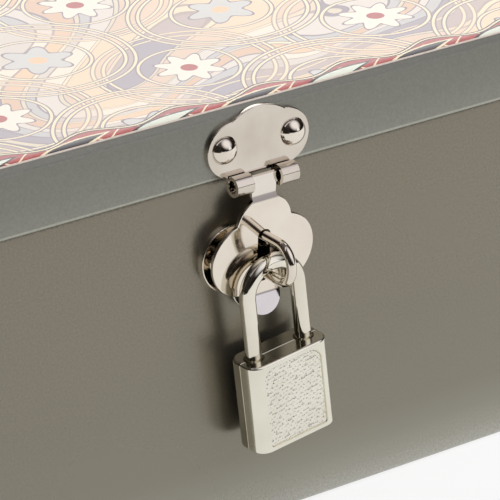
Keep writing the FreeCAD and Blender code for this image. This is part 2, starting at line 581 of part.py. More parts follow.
def make_case_halves():
    """Front and back shell of the padlock, hollowed for the shackle's legs, the plug and the bolt."""
    block = rounded_slab(CASE_WIDTH, CASE_THICKNESS, case_foot, case_top, CASE_CORNER_RADIUS)
    block = block.makeFillet(CASE_EDGE_RADIUS, edges_at(block, case_top) + edges_at(block, case_foot))
    bore = SHACKLE_WIRE_RADIUS + RUNNING_CLEARANCE
    plug_bore_top = case_top - PLUG_FLANGE_DEPTH - PLUG_FLANGE_HEIGHT - BOLT_CLEARANCE
    flange_bore = PLUG_FLANGE_RADIUS + RUNNING_CLEARANCE
    back_y = crank_radius + CRANK_PIN_RADIUS + 2 * BOLT_CLEARANCE
    front_y = -BOLT_NOSE_WIDTH / 2 - BOLT_CLEARANCE
    channel_low_x = crank_x - fork_room - FORK_WALL - BOLT_TRAVEL - BOLT_CLEARANCE
    channel = Part.makeBox(
        leg_x - channel_low_x,
        back_y - front_y,
        BOLT_THICKNESS + 2 * BOLT_CLEARANCE,
        V(channel_low_x, front_y, bolt_foot - BOLT_CLEARANCE),
    )
    plug_bore_foot = case_foot - TOOL_OVERRUN
    plug_bore_length = plug_bore_top - plug_bore_foot + TOOL_OVERRUN
    hollows = [
        rod_along(Z_AXIS, V(0, 0, plug_bore_top), flange_bore, bolt_foot - plug_bore_top),
        rod_along(Z_AXIS, V(0, 0, plug_bore_foot), PLUG_RADIUS + RUNNING_CLEARANCE, plug_bore_length),
        channel,
    ]
    for x, depth in ((-leg_x, HEEL_HOLE_DEPTH), (leg_x, TOE_DEPTH + NOTCH_CLEARANCE)):
        hollows.append(rod_along(-Z_AXIS, V(x, 0, case_top + TOOL_OVERRUN), bore, depth + TOOL_OVERRUN))
        foot = V(x, 0, case_top - LEG_HOLE_CHAMFER)
        hollows.append(Part.makeCone(bore, bore + 2 * LEG_HOLE_CHAMFER, 2 * LEG_HOLE_CHAMFER, foot))
    hollows += case_pin_rods(CASE_PIN_RADIUS + HOLE_CLEARANCE, CASE_PIN_LENGTH + 2 * HOLE_CLEARANCE)
    halves = []
    for side in (-1, 1):
        keep = Part.makeBox(
            2 * CASE_WIDTH,
            CASE_THICKNESS,
            2 * CASE_HEIGHT,
            V(-CASE_WIDTH, min(0, side * CASE_THICKNESS), case_foot - CASE_HEIGHT / 2),
        )
        half = block.common(keep)
        flat = [e for e in half.Edges if e.BoundBox.YLength < SAME_PLACE]
        seam = [e for e in flat if abs(e.BoundBox.YMin) < SAME_PLACE]
        half = half.makeChamfer(SEAM_CHAMFER, seam)
        halves.append(half.cut(Part.makeCompound([h.copy() for h in hollows])))
    halves[0] = halves[0].cut(panel_recess())
    return [hang(half) for half in halves]


def panel_recess():
    """Shallow sunk panel on the padlock's front, with large round corners at the top."""
    top = case_top - PANEL_TOP_MARGIN
    foot = case_foot + PANEL_BOTTOM_MARGIN
    half = PANEL_WIDTH / 2
    top_bend = PANEL_TOP_RADIUS * (1 - math.sqrt(0.5))
    foot_bend = PANEL_BOTTOM_RADIUS * (1 - math.sqrt(0.5))
    outline = mirrored_outline(
        [
            (0, top),
            ("line", (half - PANEL_TOP_RADIUS, top)),
            ("arc", (half - top_bend, top - top_bend), (half, top - PANEL_TOP_RADIUS)),
            ("line", (half, foot + PANEL_BOTTOM_RADIUS)),
            ("arc", (half - foot_bend, foot + foot_bend), (half - PANEL_BOTTOM_RADIUS, foot)),
            ("line", (0, foot)),
        ]
    )
    outline.translate(V(0, -CASE_THICKNESS, 0))
    return outline.extrude(V(0, CASE_THICKNESS / 2 + PANEL_DEPTH, 0))


def make_key_plug():
    """Turned plug with a keyway in its foot, a collar that keeps it in and a crank pin on top."""
    collar_foot = case_top - PLUG_FLANGE_DEPTH - PLUG_FLANGE_HEIGHT
    foot = case_foot + HOLE_CLEARANCE
    plug = rod_along(Z_AXIS, V(0, 0, foot), PLUG_RADIUS, collar_foot - foot)
    plug = plug.fuse(rod_along(Z_AXIS, V(0, 0, collar_foot), PLUG_FLANGE_RADIUS, PLUG_FLANGE_HEIGHT))
    pin_foot = V(crank_x, crank_x, collar_foot + PLUG_FLANGE_HEIGHT)
    plug = plug.fuse(rod_along(Z_AXIS, pin_foot, CRANK_PIN_RADIUS, bolt_top - pin_foot.z))
    keyway_corner = V(-KEYWAY_LENGTH / 2, -KEYWAY_WIDTH / 2, foot)
    keyway = Part.makeBox(KEYWAY_LENGTH, KEYWAY_WIDTH, KEYWAY_DEPTH, keyway_corner)
    return hang(plug.removeSplitter().cut(keyway))


def make_bolt():
    """Flat bolt with a nose for the toe's notch and a fork that the crank pin works in."""
    low_x = crank_x - fork_room - FORK_WALL
    nose_root_x = crank_x + fork_room + FORK_WALL
    back_y = crank_radius + fork_room
    front_y = -BOLT_NOSE_WIDTH / 2
    yoke = Part.makeBox(nose_root_x - low_x, back_y - front_y, BOLT_THICKNESS, V(low_x, front_y, bolt_foot))
    nose_corner = V(nose_root_x, front_y, bolt_foot)
    nose = Part.makeBox(bolt_tip_x - nose_root_x, BOLT_NOSE_WIDTH, BOLT_THICKNESS, nose_corner)
    slot_corner = V(crank_x - fork_room, crank_x - fork_room, bolt_foot - BOLT_CLEARANCE)
    slot = Part.makeBox(2 * fork_room, back_y, 2 * BOLT_THICKNESS, slot_corner)
    return hang(yoke.fuse(nose).removeSplitter().cut(slot))


def make_shackle_spring():
    """Closed compression spring under the heel, drawn as a plain sleeve."""
    radius = SHACKLE_WIRE_RADIUS - SPRING_WALL / 2
    foot = V(-leg_x, 0, case_top - HEEL_HOLE_DEPTH)
    length = HEEL_HOLE_DEPTH - HEEL_DEPTH - HOLE_CLEARANCE
    sleeve = rod_along(Z_AXIS, foot, radius, length)
    return hang(sleeve.cut(rod_along(Z_AXIS, foot, radius - SPRING_WALL, length)))


def rivet_set(points, outward, head_radius, head_height):
    """All rivets of one kind, as separate solids in one piece list."""
    return Part.makeCompound([rivet(p, outward, grip, head_radius, head_height) for p in points])


os.makedirs("parts", exist_ok=True)
nodes = {
    "box_body": make_box_body(),
    "lid": make_lid(),
    "hasp_plate": make_hasp_plate(),
    "hasp_rivets": rivet_set(hasp_rivets, FRONT, RIVET_HEAD_RADIUS, RIVET_HEAD_HEIGHT),
    "hasp_flap": make_hasp_flap(),
    "staple_plate": make_staple_plate(),
    "staple_rivets": rivet_set(staple_rivets, FRONT, SMALL_HEAD_RADIUS, SMALL_HEAD_HEIGHT),
    "staple_eye": make_staple_eye(),
    "hinge_lid_rivets": rivet_set(lid_hinge_rivets, BACK, SMALL_HEAD_RADIUS, SMALL_HEAD_HEIGHT),
    "hinge_body_rivets": rivet_set(body_hinge_rivets, BACK, SMALL_HEAD_RADIUS, SMALL_HEAD_HEIGHT),
    "padlock_shackle": make_shackle(),
    "padlock_key_plug": make_key_plug(),
    "padlock_bolt": make_bolt(),
    "padlock_shackle_spring": make_shackle_spring(),
}
for name, centre_x in zip(("left", "right"), hinge_xs):
    nodes[f"hinge_{name}_lid_leaf"] = hinge_leaf(centre_x, True)
    nodes[f"hinge_{name}_body_leaf"] = hinge_leaf(centre_x, False)
    nodes[f"hinge_{name}_pin"] = hinge_pin(centre_x)
nodes["padlock_front_case"], nodes["padlock_back_case"] = make_case_halves()
nodes["padlock_case_pins"] = Part.makeCompound(
    [hang(pin) for pin in case_pin_rods(CASE_PIN_RADIUS, CASE_PIN_LENGTH)]
)
for name, shape in nodes.items():
    shape.exportStep(f"parts/{name}.step")
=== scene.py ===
import json
import math

import bpy
from mathutils import Matrix, Vector, noise


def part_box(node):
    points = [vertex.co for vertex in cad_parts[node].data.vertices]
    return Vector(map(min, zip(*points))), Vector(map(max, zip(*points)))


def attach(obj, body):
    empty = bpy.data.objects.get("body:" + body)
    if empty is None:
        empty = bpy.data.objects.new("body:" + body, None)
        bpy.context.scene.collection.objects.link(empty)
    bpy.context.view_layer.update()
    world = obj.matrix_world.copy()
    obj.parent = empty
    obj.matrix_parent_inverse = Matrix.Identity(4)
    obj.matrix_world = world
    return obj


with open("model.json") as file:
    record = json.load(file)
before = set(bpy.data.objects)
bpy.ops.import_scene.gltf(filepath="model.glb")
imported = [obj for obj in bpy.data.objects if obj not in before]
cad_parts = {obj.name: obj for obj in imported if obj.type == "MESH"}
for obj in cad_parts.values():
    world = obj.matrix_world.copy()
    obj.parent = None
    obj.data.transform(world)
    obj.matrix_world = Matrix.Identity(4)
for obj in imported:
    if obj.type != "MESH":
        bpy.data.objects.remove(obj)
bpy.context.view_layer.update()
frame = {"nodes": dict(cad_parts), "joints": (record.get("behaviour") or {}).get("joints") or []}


# Camera: a long lens from the front left and above, close in on the hasp and the padlock.
# Its place and turn come from laying the solids' edges over those of the photograph.
MM = 0.001
CAMERA_PLACE = Vector((-382.957, -671.574, 361.739)) * MM
CAMERA_YAW = math.radians(34.372)
CAMERA_PITCH = math.radians(23.918)
CAMERA_ROLL = math.radians(-1.084)
CAMERA_LENS = 264.45  # focal length in millimetres, for the sensor's width below
CAMERA_SENSOR = 36
level_ahead = Vector((math.sin(CAMERA_YAW), math.cos(CAMERA_YAW), 0))
ahead = level_ahead * math.cos(CAMERA_PITCH) - Vector((0, 0, math.sin(CAMERA_PITCH)))
level_right = Vector((math.cos(CAMERA_YAW), -math.sin(CAMERA_YAW), 0))
upright = level_right.cross(ahead)
picture_right = level_right * math.cos(CAMERA_ROLL) + upright * math.sin(CAMERA_ROLL)
picture_up = upright * math.cos(CAMERA_ROLL) - level_right * math.sin(CAMERA_ROLL)
camera_data = bpy.data.cameras.new("long_lens")
camera_data.lens = CAMERA_LENS
camera_data.sensor_width = CAMERA_SENSOR
camera = bpy.data.objects.new("long_lens", camera_data)
turn = Matrix((picture_right, picture_up, -ahead)).transposed().to_4x4()
camera.matrix_world = Matrix.Translation(CAMERA_PLACE) @ turn
bpy.context.scene.collection.objects.link(camera)
bpy.context.scene.camera = camera
bpy.context.scene.view_settings.view_transform = "Standard"


# Studio: white paper on the floor, a dark room with two windows and a gap of light, and soft boxes.
# The paper reads as white both straight on and mirrored in the metal, and keeps the box's shadow.
def linear(hex_code):
    """An sRGB hex colour as linear red, green, blue and a full alpha."""
    shares = [int(hex_code[i:i + 2], 16) / 255 for i in (1, 3, 5)]
    return [s / 12.92 if s <= 0.04045 else ((s + 0.055) / 1.055) ** 2.4 for s in shares] + [1.0]


def add(tree, kind, inputs=None, stops=(), **settings):
    """Adds a node with its settings, the stops of its colour ramp if it has one, and its inputs.

    An input is a constant, a socket, or a node whose first output it takes.
    """
    made = tree.nodes.new(kind)
    for name, value in settings.items():
        setattr(made, name, value)
    while stops and len(made.color_ramp.elements) < len(stops):
        made.color_ramp.elements.new(0.5)  # anywhere, since its place is set next
    for i, (place, colour) in enumerate(stops):
        made.color_ramp.elements[i].position = place
        made.color_ramp.elements[i].color = colour
    for key, value in (inputs or {}).items():
        if isinstance(value, bpy.types.Node):
            value = value.outputs[0]
        if isinstance(value, bpy.types.NodeSocket):
            tree.links.new(value, made.inputs[key])
        else:
            made.inputs[key].default_value = value
    return made


def new_object(name, points, faces, material):
    """Puts a mesh of the given points and faces into the scene."""
    mesh = bpy.data.meshes.new(name)
    mesh.from_pydata(points, [], faces)
    mesh.materials.append(material)
    made = bpy.data.objects.new(name, mesh)
    bpy.context.scene.collection.objects.link(made)
    return made


FLOOR_HALF = 4.0
FLOOR_SINK = 0.05 * MM
# The paper's glow is painted light: it is whiter to the right than to the left, as if lit from the right.
GLOW_LEFT = 0.74  # how much of the paper's look is plain white, on the left and on the right
GLOW_RIGHT = 0.96
GLOW_STARTS = -0.04  # between which places along the box's length it changes
GLOW_ENDS = 0.2
paper = bpy.data.materials.new("matt_white_paper")
paper.use_nodes = True
tree = paper.node_tree
tree.nodes.clear()
rays = add(tree, "ShaderNodeLightPath")
seen = rays.outputs["Is Camera Ray"]
for mirrored_ray in ("Is Glossy Ray", "Is Transmission Ray"):
    seen = add(
        tree, "ShaderNodeMath", {0: seen, 1: rays.outputs[mirrored_ray]}, operation="ADD", use_clamp=True
    )
where = add(tree, "ShaderNodeTexCoord")
across = add(tree, "ShaderNodeSeparateXYZ", {0: where.outputs["Object"]})
# Painted light: the paper's white glow grows from left to right
glow = add(
    tree, "ShaderNodeMapRange",
    {0: across.outputs["X"], 1: GLOW_STARTS, 2: GLOW_ENDS, 3: GLOW_LEFT, 4: GLOW_RIGHT},
)
whiteness = add(tree, "ShaderNodeMath", {0: seen, 1: glow}, operation="MULTIPLY")
matt = add(tree, "ShaderNodeBsdfDiffuse", {"Color": linear("#F4F3F0")})
white = add(tree, "ShaderNodeEmission", {"Color": (1, 1, 1, 1), "Strength": 1.0})
sheet = add(tree, "ShaderNodeMixShader", {0: whiteness, 1: matt, 2: white})
add(tree, "ShaderNodeOutputMaterial", {"Surface": sheet})
floor_corners = [
    (-FLOOR_HALF, -FLOOR_HALF, -FLOOR_SINK), (FLOOR_HALF, -FLOOR_HALF, -FLOOR_SINK),
    (FLOOR_HALF, FLOOR_HALF, -FLOOR_SINK), (-FLOOR_HALF, FLOOR_HALF, -FLOOR_SINK),
]
new_object("paper_floor", floor_corners, [(0, 1, 2, 3)], paper)

# A dark card to the left, which only the metal sees, gives the bright plate its black edges.
CARD_PLACE = -0.5
CARD_FRONT = -0.8
CARD_BACK = -0.118
CARD_HEIGHT = 0.5
CARD_GRAIN = 2.5 * MM
CARD_ROUGHNESS = 0.9
black_card = bpy.data.materials.new("black_card")
black_card.use_nodes = True
card_grain = add(black_card.node_tree, "ShaderNodeTexNoise", {"Scale": 1 / CARD_GRAIN})
card_tone = add(
    black_card.node_tree, "ShaderNodeMix", {0: card_grain, 6: linear("#17140F"), 7: linear("#211D17")},
    data_type="RGBA",
)
card_shader = black_card.node_tree.nodes["Principled BSDF"]
black_card.node_tree.links.new(card_tone.outputs[2], card_shader.inputs["Base Color"])
card_shader.inputs["Roughness"].default_value = CARD_ROUGHNESS
card_corners = [
    (CARD_PLACE, CARD_FRONT, 0), (CARD_PLACE, CARD_BACK, 0),
    (CARD_PLACE, CARD_BACK, CARD_HEIGHT), (CARD_PLACE, CARD_FRONT, CARD_HEIGHT),
]
card = new_object("left_card", card_corners, [(0, 1, 2, 3)], black_card)
card.visible_camera = False
card.visible_diffuse = False
card.visible_shadow = False

# The room is dark and brown, with a tall window to the front right, a round one above it,
# and a narrow gap of light on the left that runs up to the ceiling.
ROOM_STEPS = [  # height as the sine of the angle above the horizon
    (0.0, "#4A423F"), (0.05, "#1D1917"), (0.4, "#262120"), (0.75, "#4E4645"), (1.0, "#6E6566"),
]
WINDOW_STEPS = [  # the tall window's sill and head, on the same scale
    (0.0, "#000000"), (0.05, "#000000"), (0.07, "#FFFFFF"),
    (0.5, "#FFFFFF"), (0.62, "#000000"), (1.0, "#000000"),
]
WINDOW_ACROSS = (0.857, 0.516, 0.0)  # level, along the wall that the tall window is in
WINDOW_EDGES = (0.27, 0.126)  # from the middle, where its light starts and where it is full
ROUND_WINDOW = (0.28, -0.62, 0.733)  # heading of its middle
ROUND_WINDOW_EDGES = (0.72, 0.985)  # cosine of the angle from its middle, likewise
GAP_PLACE = -0.12  # its heading's share to the back
GAP_EDGES = (0.05, 0.025)
DAYLIGHT_LEVEL = 1.15
DAYLIGHT = [DAYLIGHT_LEVEL * part for part in linear("#FBF9FF")]
world = bpy.data.worlds.new("dim_room")
bpy.context.scene.world = world
world.use_nodes = True
tree = world.node_tree
tree.nodes.clear()
around = add(tree, "ShaderNodeTexCoord")
heading = add(tree, "ShaderNodeSeparateXYZ", {0: around.outputs["Generated"]})
walls, window_levels = [
    add(
        tree, "ShaderNodeValToRGB", {0: heading.outputs["Z"]},
        stops=[(place, linear(colour)) for place, colour in steps],
    )
    for steps in (ROOM_STEPS, WINDOW_STEPS)
]
aside = add(
    tree, "ShaderNodeVectorMath", {0: around.outputs["Generated"], 1: WINDOW_ACROSS}, operation="DOT_PRODUCT"
)
aside = add(tree, "ShaderNodeMath", {0: aside.outputs["Value"]}, operation="ABSOLUTE")
tall = add(
    tree, "ShaderNodeMapRange", {0: aside, 1: WINDOW_EDGES[0], 2: WINDOW_EDGES[1]},
    interpolation_type="SMOOTHSTEP",
)
in_front = add(tree, "ShaderNodeMath", {0: heading.outputs["Y"], 1: 0.0}, operation="LESS_THAN")
tall = add(tree, "ShaderNodeMath", {0: tall, 1: in_front}, operation="MULTIPLY")
tall = add(tree, "ShaderNodeMath", {0: tall, 1: window_levels}, operation="MULTIPLY")
near_round = add(
    tree, "ShaderNodeVectorMath", {0: around.outputs["Generated"], 1: ROUND_WINDOW}, operation="DOT_PRODUCT"
)
disc = add(
    tree, "ShaderNodeMapRange",
    {0: near_round.outputs["Value"], 1: ROUND_WINDOW_EDGES[0], 2: ROUND_WINDOW_EDGES[1]},
    interpolation_type="SMOOTHSTEP",
)
gap = add(tree, "ShaderNodeMath", {0: heading.outputs["Y"], 1: GAP_PLACE}, operation="SUBTRACT")
gap = add(tree, "ShaderNodeMath", {0: gap}, operation="ABSOLUTE")
gap = add(tree, "ShaderNodeMapRange", {0: gap, 1: GAP_EDGES[0], 2: GAP_EDGES[1]})
on_left = add(tree, "ShaderNodeMath", {0: heading.outputs["X"], 1: 0.0}, operation="LESS_THAN")
gap = add(tree, "ShaderNodeMath", {0: gap, 1: on_left}, operation="MULTIPLY")
openings = add(tree, "ShaderNodeMath", {0: tall, 1: disc}, operation="MAXIMUM")
openings = add(tree, "ShaderNodeMath", {0: openings, 1: gap}, operation="MAXIMUM")
room = add(tree, "ShaderNodeMix", {0: openings, 6: walls, 7: DAYLIGHT}, data_type="RGBA")
light = add(tree, "ShaderNodeBackground", {"Color": room.outputs[2], "Strength": 1.0})
add(tree, "ShaderNodeOutputWorld", {"Surface": light})

SOFT_BOXES = {  # place, outline, size, power in watts, whether the metal mirrors it
    "top_soft_box": ((0.1, -0.25, 1.25), "DISK", 0.55, 4.5, False),
    "rear_soft_box": ((0.7, 0.75, 0.95), "SQUARE", 1.2, 9.0, True),
    "right_soft_box": ((1.15, -0.75, 0.75), "SQUARE", 0.7, 8.0, False),
}
lit_spot = Vector((0, -0.1, 0.06))
for name, (place, outline, size, power, mirrored) in SOFT_BOXES.items():
    lamp_data = bpy.data.lights.new(name, "AREA")
    lamp_data.shape = outline
    lamp_data.size = size
    lamp_data.energy = power
    lamp = bpy.data.objects.new(name, lamp_data)
    lamp.location = place
    lamp.rotation_euler = (lit_spot - Vector(place)).to_track_quat("-Z", "Y").to_euler()
    lamp.visible_glossy = mirrored
    bpy.context.scene.collection.objects.link(lamp)


# Box body: one tray pressed from tinplate, its rim hemmed inwards.
# Outside it has a stoved satin lacquer with a metal flake in it, inside the tin is left bright.
def dress(material, *names):
    """Gives CAD nodes one material."""
    for name in names:
        frame["nodes"][name].data.materials.clear()
        frame["nodes"][name].data.materials.append(material)


def new_material(name):
    """A new material with nodes, its tree, its shader and the node for its coordinates."""
    made = bpy.data.materials.new(name)
    made.use_nodes = True
    tree = made.node_tree
    return made, tree, tree.nodes["Principled BSDF"], add(tree, "ShaderNodeTexCoord")


FLAKE = 0.5 * MM  # real flake is a tenth of this, drawn coarser so that it shows
FLAKE_COLOUR = linear("#8F8A7C")
ORANGE_PEEL = 1.6 * MM
PEEL_HEIGHT = 0.05 * MM
PEEL_STRENGTH = 0.03
HANDLING = 45 * MM
NOISE_LOW = 0.3  # nearly all of a noise lies between these two
NOISE_HIGH = 0.7
NOISE_MIDDLE = (0.5, 0.5, 0.5)
LACQUER_METALLIC = 0.8
LACQUER_SHARPEST = 0.25
LACQUER_DULLEST = 0.31
BARE_TIN = linear("#C9C7C0")
TIN_METALLIC = 0.45  # the bare inside is dulled by the tinning oil and by use, so it scatters the light
TIN_DULLER = 0.16
LACQUER_TOP = 80 * MM
LACQUER_LIGHT_AND_SHADE_STEPS = [  # painted light and shade by height: the foot is painted paler, a painted reflection of the bright paper, the walls darken upwards, and a painted shadow makes a dark line under the lid's edge
    (0.0, "#C9CCC7"), (0.03, "#BCBDB6"), (0.06, "#AAAAA1"), (0.12, "#929187"),
    (0.2, "#827F73"), (0.45, "#7B7669"), (0.976, "#766E61"), (0.9795, "#0C0A08"),
    (0.986, "#0C0A08"), (0.9895, "#766E61"),
]
lacquer, tree, shader, where = new_material("satin_taupe_lacquer_on_tinplate")
flake = add(
    tree, "ShaderNodeTexNoise", {"Vector": where.outputs["Object"], "Scale": 1 / FLAKE, "Detail": 2.0}
)
level = add(tree, "ShaderNodeSeparateXYZ", {0: where.outputs["Object"]})
level = add(tree, "ShaderNodeMapRange", {0: level.outputs["Z"], 1: 0.0, 2: LACQUER_TOP})
# Painted light and shade by height: a paler foot, darker walls above it, and a painted shadow line under the
# lid's edge
shade = add(
    tree, "ShaderNodeValToRGB", {0: level},
    stops=[(place, linear(colour)) for place, colour in LACQUER_LIGHT_AND_SHADE_STEPS],
)
paint = add(tree, "ShaderNodeMix", {0: flake, 6: shade, 7: FLAKE_COLOUR}, data_type="RGBA")
body_low, body_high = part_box("box_body")
body_middle = (body_low + body_high) / 2
outward = add(
    tree, "ShaderNodeVectorMath", {0: where.outputs["Object"], 1: body_middle}, operation="SUBTRACT"
)
facing = add(
    tree, "ShaderNodeVectorMath", {0: outward, 1: where.outputs["Normal"]}, operation="DOT_PRODUCT"
)
inside = add(tree, "ShaderNodeMath", {0: facing.outputs["Value"], 1: 0.0}, operation="LESS_THAN")
coloured = add(tree, "ShaderNodeMix", {0: inside, 6: paint.outputs[2], 7: BARE_TIN}, data_type="RGBA")
tree.links.new(coloured.outputs[2], shader.inputs["Base Color"])
handled = add(
    tree, "ShaderNodeTexNoise", {"Vector": where.outputs["Object"], "Scale": 1 / HANDLING, "Detail": 4.0}
)
satin = add(
    tree, "ShaderNodeMapRange",
    {0: handled, 1: NOISE_LOW, 2: NOISE_HIGH, 3: LACQUER_SHARPEST, 4: LACQUER_DULLEST},
)
satin = add(tree, "ShaderNodeMath", {0: inside, 1: TIN_DULLER, 2: satin}, operation="MULTIPLY_ADD")
tree.links.new(satin.outputs[0], shader.inputs["Roughness"])
metal = add(tree, "ShaderNodeMapRange", {0: inside, 3: LACQUER_METALLIC, 4: TIN_METALLIC})
tree.links.new(metal.outputs[0], shader.inputs["Metallic"])
peel = add(
    tree, "ShaderNodeTexNoise", {"Vector": where.outputs["Object"], "Scale": 1 / ORANGE_PEEL, "Detail": 1.0}
)

# On the flat walls the true normal is taken, since slivers of the mesh have poor corner normals
FLAT_ENOUGH = 0.9999
geometry = add(tree, "ShaderNodeNewGeometry")
shares = add(tree, "ShaderNodeVectorMath", {0: geometry.outputs["True Normal"]}, operation="ABSOLUTE")
shares = add(tree, "ShaderNodeSeparateXYZ", {0: shares})
largest = add(tree, "ShaderNodeMath", {0: shares.outputs["X"], 1: shares.outputs["Y"]}, operation="MAXIMUM")
largest = add(tree, "ShaderNodeMath", {0: largest, 1: shares.outputs["Z"]}, operation="MAXIMUM")
on_wall = add(tree, "ShaderNodeMath", {0: largest, 1: FLAT_ENOUGH}, operation="GREATER_THAN")
normal = add(
    tree, "ShaderNodeMix", {0: on_wall, 4: geometry.outputs["Normal"], 5: geometry.outputs["True Normal"]},
    data_type="VECTOR",
)
bump = add(
    tree, "ShaderNodeBump",
    {"Strength": PEEL_STRENGTH, "Distance": PEEL_HEIGHT, "Height": peel, "Normal": normal.outputs[1]},
)
tree.links.new(bump.outputs[0], shader.inputs["Normal"])
dress(lacquer, "box_body")


# Lid: a shallow tray of the same tinplate that drops over the rim.
# Its skirt is lacquered grey, its top is offset printed and varnished, its inside is bright tin.
# All sizes of the print are in millimetres.
PRINT_TURN = 0.3  # how far the print comes down over the fold
VARNISH_AND_HIGHLIGHT_TURN = 0.52  # the varnish goes a little further, and there the skirt is painted a thin pale highlight line along the fold
SKIRT_STEPS = [  # depth below the top: a painted highlight line at the fold, a slightly lighter band below it, lighter towards the bottom, and a painted highlight along the hemmed lower edge
    (0.0, "#D8CCC0"), (VARNISH_AND_HIGHLIGHT_TURN, "#D8CCC0"), (0.56, "#78786F"), (1.4, "#7A7A72"),
    (1.9, "#878780"), (2.4, "#7B7B73"),
    (9.0, "#808078"), (14.3, "#87877F"), (14.5, "#A6A69B"), (15.1, "#A6A69B"),
]
SKIRT_ROUGHNESS = 0.28
FLAKE_DIM = 0.93  # how much of the light the skirt's flake gives back, from the darkest to the brightest
FLAKE_BRIGHT = 1.07
VARNISH_ROUGHNESS = 0.14
LID_PEEL_STRENGTH = 0.04
WOBBLE = 7.0  # how far the drawing strays from true circles and lines, and over what length
WOBBLE_REACH = 60.0
INK_CREAM = linear("#F3E7D6")
INK_PEACH = linear("#F3D2B0")
INK_APRICOT = linear("#EFC49A")
INK_MAUVE = linear("#A79CA2")
INK_STONE = linear("#CFCCC6")
INK_OUTLINE = linear("#93868A")
INK_RED = linear("#B0504C")
INK_CHARCOAL = linear("#332D2F")
INK_PALE_LEAF = linear("#DDE1D0")
INK_GOLD = linear("#F1E1BD")
lid_low, lid_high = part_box("lid")
lid_paint, tree, shader, where = new_material("offset_printed_and_lacquered_tinplate")
millimetres = add(tree, "ShaderNodeVectorMath", {0: where.outputs["Object"], 3: 1 / MM}, operation="SCALE")
spot = add(tree, "ShaderNodeSeparateXYZ", {0: millimetres})
half_x = (lid_high.x - lid_low.x) / 2 / MM
half_y = (lid_high.y - lid_low.y) / 2 / MM
side_x = add(tree, "ShaderNodeMath", {0: spot.outputs["X"]}, operation="ABSOLUTE")
side_x = add(tree, "ShaderNodeMath", {0: half_x, 1: side_x}, operation="SUBTRACT")
side_y = add(tree, "ShaderNodeMath", {0: spot.outputs["Y"]}, operation="ABSOLUTE")
side_y = add(tree, "ShaderNodeMath", {0: half_y, 1: side_y}, operation="SUBTRACT")
from_edge = add(tree, "ShaderNodeMath", {0: side_x, 1: side_y}, operation="MINIMUM")
at_side = add(tree, "ShaderNodeMath", {0: side_x, 1: side_y}, operation="LESS_THAN")
swap = add(tree, "ShaderNodeMath", {0: spot.outputs["Y"], 1: spot.outputs["X"]}, operation="SUBTRACT")
along = add(tree, "ShaderNodeMath", {0: at_side, 1: swap, 2: spot.outputs["X"]}, operation="MULTIPLY_ADD")
drift = add(tree, "ShaderNodeTexNoise", {"Vector": millimetres, "Scale": 1 / WOBBLE_REACH, "Detail": 1.0})
drift = add(
    tree, "ShaderNodeVectorMath", {0: drift.outputs["Color"], 1: NOISE_MIDDLE}, operation="SUBTRACT"
)
drawn = add(
    tree, "ShaderNodeVectorMath", {0: drift, 1: (WOBBLE, WOBBLE, 0), 2: millimetres},
    operation="MULTIPLY_ADD",
)
flat = add(tree, "ShaderNodeVectorMath", {0: drawn, 1: (1, 1, 0)}, operation="MULTIPLY")

# Field of the print: wide flowing bands, each edged by a gold line between two thin outlines
FLOW = 85.0
FLOW_TURNS = 3.6  # rounds of the colours below over the whole range of the flow
flow = add(
    tree, "ShaderNodeTexNoise",
    {"Vector": flat, "Scale": 1 / FLOW, "Detail": 0.6, "Roughness": 0.4, "Distortion": 0.9},
)
band = add(tree, "ShaderNodeMath", {0: flow, 1: FLOW_TURNS}, operation="MULTIPLY")
band = add(tree, "ShaderNodeMath", {0: band}, operation="FRACT")
FIELD_STEPS = [
    (0.0, INK_OUTLINE), (0.012, INK_CREAM), (0.15, INK_OUTLINE), (0.16, INK_GOLD), (0.18, INK_OUTLINE),
    (0.19, INK_PEACH), (0.43, INK_OUTLINE), (0.44, INK_GOLD), (0.46, INK_OUTLINE), (0.47, INK_MAUVE),
    (0.56, INK_OUTLINE), (0.568, INK_GOLD), (0.588, INK_OUTLINE), (0.596, INK_MAUVE), (0.66, INK_OUTLINE),
    (0.67, INK_STONE), (0.74, INK_OUTLINE), (0.75, INK_CREAM), (0.8, INK_OUTLINE), (0.81, INK_APRICOT),
    (0.9, INK_OUTLINE), (0.91, INK_GOLD), (0.93, INK_OUTLINE), (0.94, INK_STONE),
]
field = add(tree, "ShaderNodeValToRGB", {0: band}, stops=FIELD_STEPS)
field.color_ramp.interpolation = "CONSTANT"
colour = field.outputs[0]

